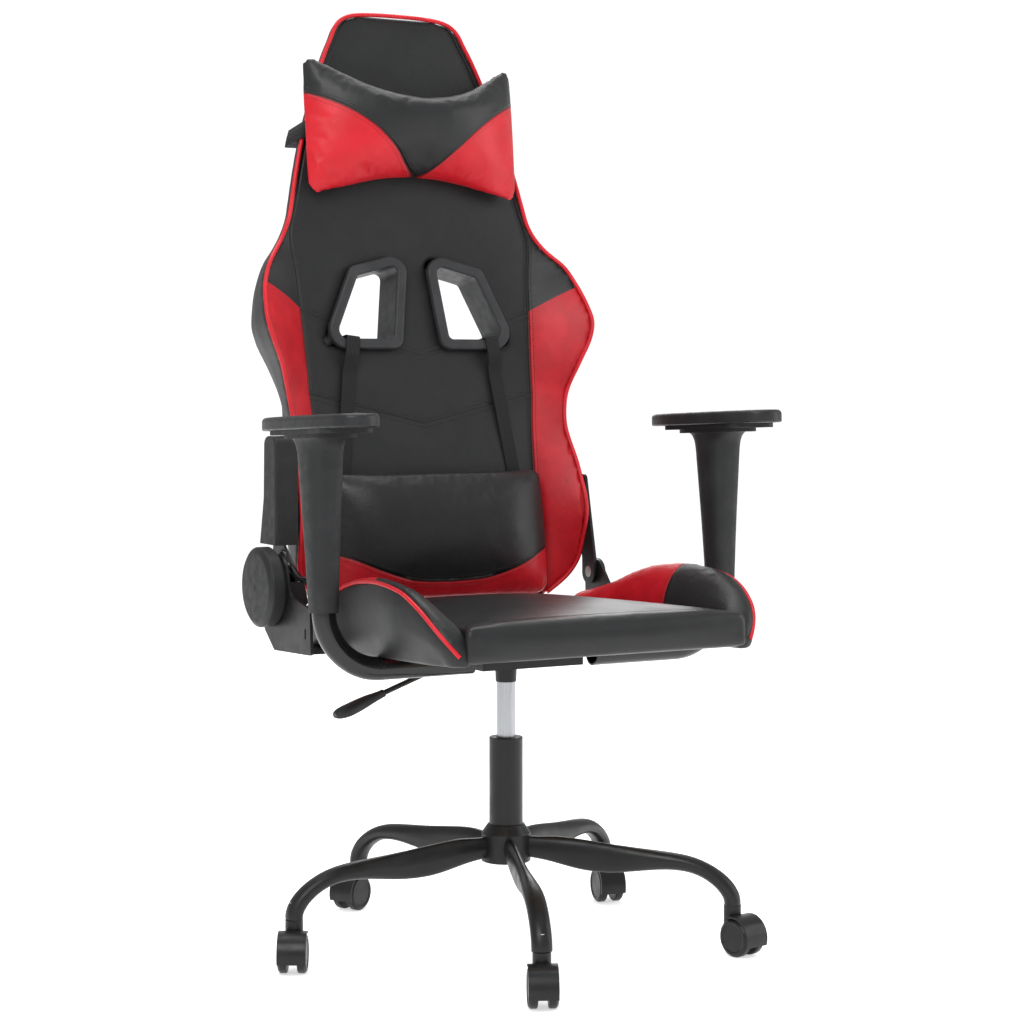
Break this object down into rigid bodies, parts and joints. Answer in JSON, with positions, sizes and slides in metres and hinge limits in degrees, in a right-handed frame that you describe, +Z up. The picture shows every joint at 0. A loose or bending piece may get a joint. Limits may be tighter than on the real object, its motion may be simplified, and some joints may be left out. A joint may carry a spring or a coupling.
{
  "type": "gaming chair",
  "caption": "High-backed gaming chair with openings in the back, head and lumbar pillows, fixed armrests, a reclining back and a height-adjustable swivel base on casters.",
  "frame": {"origin": "on the floor under the axis of the gas column", "axes": "+Z up along the column; the chair faces -Y; +X is the sitter's left"},
  "size_m": [0.6794, 0.7072, 1.272],
  "materials": {
    "black_steel": "satin powder coat",
    "gloss_black_steel": "gloss black enamel",
    "chrome_steel": "satin chrome",
    "bare_steel": "zinc plated",
    "black_plastic": "fine matt texture",
    "satin_plastic": "satin",
    "black_leather": "coated, soft sheen",
    "red_leather": "coated, soft sheen",
    "strap_fabric": "woven webbing",
    "plywood": "bare"
  },
  "bodies": {
    "base": {"base_hub": "black_steel", "base_legs": "black_steel", "caster_stems": "bare_steel", "column_tube": "black_steel", "column_guide_bush": "black_plastic", "column_thrust_bearing": "bare_steel"},
    "lift_rod": {"gas_spring_rod": "bare_steel"},
    "seat": {"gas_spring_cylinder": "chrome_steel", "seat_mechanism": "black_steel", "seat_pan": "plywood", "seat_cushion": "black_leather", "seat_bolster_left": "red_leather", "seat_bolster_right": "red_leather", "armrest_tube_left": "gloss_black_steel", "armrest_tube_right": "gloss_black_steel", "armrest_post_left": "black_plastic", "armrest_post_right": "black_plastic", "armrest_plate_left": "black_plastic", "armrest_plate_right": "black_plastic", "armrest_pad_left": "satin_plastic", "armrest_pad_right": "satin_plastic", "recliner_lower_bracket_left": "black_steel", "recliner_lower_bracket_right": "black_steel", "recliner_cap_left": "black_plastic", "recliner_cap_right": "black_plastic", "recliner_pivots": "bare_steel", "seat_bolts": "bare_steel"},
    "release_pin": {"release_pin": "bare_steel"},
    "height_lever": {"height_lever_rod": "black_steel", "height_lever_grip": "black_plastic"},
    "recline_lever": {"recline_lever": "gloss_black_steel"},
    "backrest": {"back_frame": "black_steel", "back_cushion": "black_leather", "back_bezel_left": "black_plastic", "back_bezel_right": "black_plastic", "recliner_upper_bracket_left": "black_steel", "recliner_upper_bracket_right": "black_steel", "recliner_shroud_right": "black_plastic", "lumbar_straps": "strap_fabric", "strap_buckles": "black_plastic", "back_bolts": "bare_steel"},
    "head_pillow": {"head_pillow": "black_leather", "head_strap": "strap_fabric"},
    "lumbar_pillow": {"lumbar_pillow": "black_leather"},
    "caster_1": {"caster_hood_1": "satin_plastic"},
    "wheel_1a": {"caster_wheel_1a": "satin_plastic"},
    "wheel_1b": {"caster_wheel_1b": "satin_plastic"},
    "caster_2": {"caster_hood_2": "satin_plastic"},
    "wheel_2a": {"caster_wheel_2a": "satin_plastic"},
    "wheel_2b": {"caster_wheel_2b": "satin_plastic"},
    "caster_3": {"caster_hood_3": "satin_plastic"},
    "wheel_3a": {"caster_wheel_3a": "satin_plastic"},
    "wheel_3b": {"caster_wheel_3b": "satin_plastic"},
    "caster_4": {"caster_hood_4": "satin_plastic"},
    "wheel_4a": {"caster_wheel_4a": "satin_plastic"},
    "wheel_4b": {"caster_wheel_4b": "satin_plastic"},
    "caster_5": {"caster_hood_5": "satin_plastic"},
    "wheel_5a": {"caster_wheel_5a": "satin_plastic"},
    "wheel_5b": {"caster_wheel_5b": "satin_plastic"}
  },
  "joints": [
    {"name": "seat_swivel", "type": "hinge", "parent": "base", "child": "lift_rod", "pos_m": [0, 0, 0.115], "axis": [0, 0, 1], "continuous": true},
    {"name": "seat_height", "type": "slide", "parent": "lift_rod", "child": "seat", "axis": [0, 0, 1], "range_m": [-0.07, 0.03]},
    {"name": "height_lever", "type": "hinge", "parent": "seat", "child": "height_lever", "pos_m": [-0.04, 0, 0.3946], "axis": [0, 1, 0], "range_deg": [0, 5], "stiffness_Nm_per_rad": 6, "springref_deg": -3.44},
    {"name": "release_press", "type": "slide", "parent": "seat", "child": "release_pin", "axis": [0, 0, 1], "range_m": [-0.0039, 0], "stiffness_N_per_m": 40, "springref_m": 0.001},
    {"name": "backrest_recline", "type": "hinge", "parent": "seat", "child": "backrest", "pos_m": [0, 0.168, 0.479], "axis": [-1, 0, 0], "range_deg": [-9, 35]},
    {"name": "recline_lever", "type": "hinge", "parent": "seat", "child": "recline_lever", "pos_m": [0, 0.168, 0.479], "axis": [-1, 0, 0], "range_deg": [0, 12], "stiffness_Nm_per_rad": 4, "springref_deg": -8.59},
    {"name": "head_pillow_slide", "type": "slide", "parent": "backrest", "child": "head_pillow", "axis": [0, 0.1564, 0.9877], "range_m": [0, 0.04]},
    {"name": "lumbar_pillow_slide", "type": "slide", "parent": "backrest", "child": "lumbar_pillow", "axis": [0, 0.1564, 0.9877], "range_m": [0, 0.06]},
    {"name": "caster_swivel_1", "type": "hinge", "parent": "base", "child": "caster_1", "pos_m": [-0.30271, 0.01322, 0.06], "axis": [0, 0, 1], "continuous": true},
    {"name": "wheel_spin_1a", "type": "hinge", "parent": "caster_1", "child": "wheel_1a", "pos_m": [-0.31144, -0.00253, 0.025], "axis": [0.8746, -0.4848, 0], "continuous": true},
    {"name": "wheel_spin_1b", "type": "hinge", "parent": "caster_1", "child": "wheel_1b", "pos_m": [-0.31144, -0.00253, 0.025], "axis": [0.8746, -0.4848, 0], "continuous": true},
    {"name": "caster_swivel_2", "type": "hinge", "parent": "base", "child": "caster_2", "pos_m": [-0.10611, -0.28381, 0.06], "axis": [0, 0, 1], "continuous": true},
    {"name": "wheel_spin_2a", "type": "hinge", "parent": "caster_2", "child": "wheel_2a", "pos_m": [-0.114, -0.29999, 0.025], "axis": [0.8988, -0.4384, 0], "continuous": true},
    {"name": "wheel_spin_2b", "type": "hinge", "parent": "caster_2", "child": "wheel_2b", "pos_m": [-0.114, -0.29999, 0.025], "axis": [0.8988, -0.4384, 0], "continuous": true},
    {"name": "caster_swivel_3", "type": "hinge", "parent": "base", "child": "caster_3", "pos_m": [0.23713, -0.18862, 0.06], "axis": [0, 0, 1], "continuous": true},
    {"name": "wheel_spin_3a", "type": "hinge", "parent": "caster_3", "child": "wheel_3a", "pos_m": [0.24057, -0.20629, 0.025], "axis": [0.9816, 0.1908, 0], "continuous": true},
    {"name": "wheel_spin_3b", "type": "hinge", "parent": "caster_3", "child": "wheel_3b", "pos_m": [0.24057, -0.20629, 0.025], "axis": [0.9816, 0.1908, 0], "continuous": true},
    {"name": "caster_swivel_4", "type": "hinge", "parent": "base", "child": "caster_4", "pos_m": [0.25267, 0.16724, 0.06], "axis": [0, 0, 1], "continuous": true},
    {"name": "wheel_spin_4a", "type": "hinge", "parent": "caster_4", "child": "wheel_4a", "pos_m": [0.24923, 0.14957, 0.025], "axis": [0.9816, -0.1908, 0], "continuous": true},
    {"name": "wheel_spin_4b", "type": "hinge", "parent": "caster_4", "child": "wheel_4b", "pos_m": [0.24923, 0.14957, 0.025], "axis": [0.9816, -0.1908, 0], "continuous": true},
    {"name": "caster_swivel_5", "type": "hinge", "parent": "base", "child": "caster_5", "pos_m": [-0.08097, 0.29198, 0.06], "axis": [0, 0, 1], "continuous": true},
    {"name": "wheel_spin_5a", "type": "hinge", "parent": "caster_5", "child": "wheel_5a", "pos_m": [-0.09656, 0.28298, 0.025], "axis": [0.5, -0.866, 0], "continuous": true},
    {"name": "wheel_spin_5b", "type": "hinge", "parent": "caster_5", "child": "wheel_5b", "pos_m": [-0.09656, 0.28298, 0.025], "axis": [0.5, -0.866, 0], "continuous": true}
  ],
  "couplings": [
    {"joint": "release_press", "follows": "height_lever", "m_per_rad": -0.044}
  ]
}
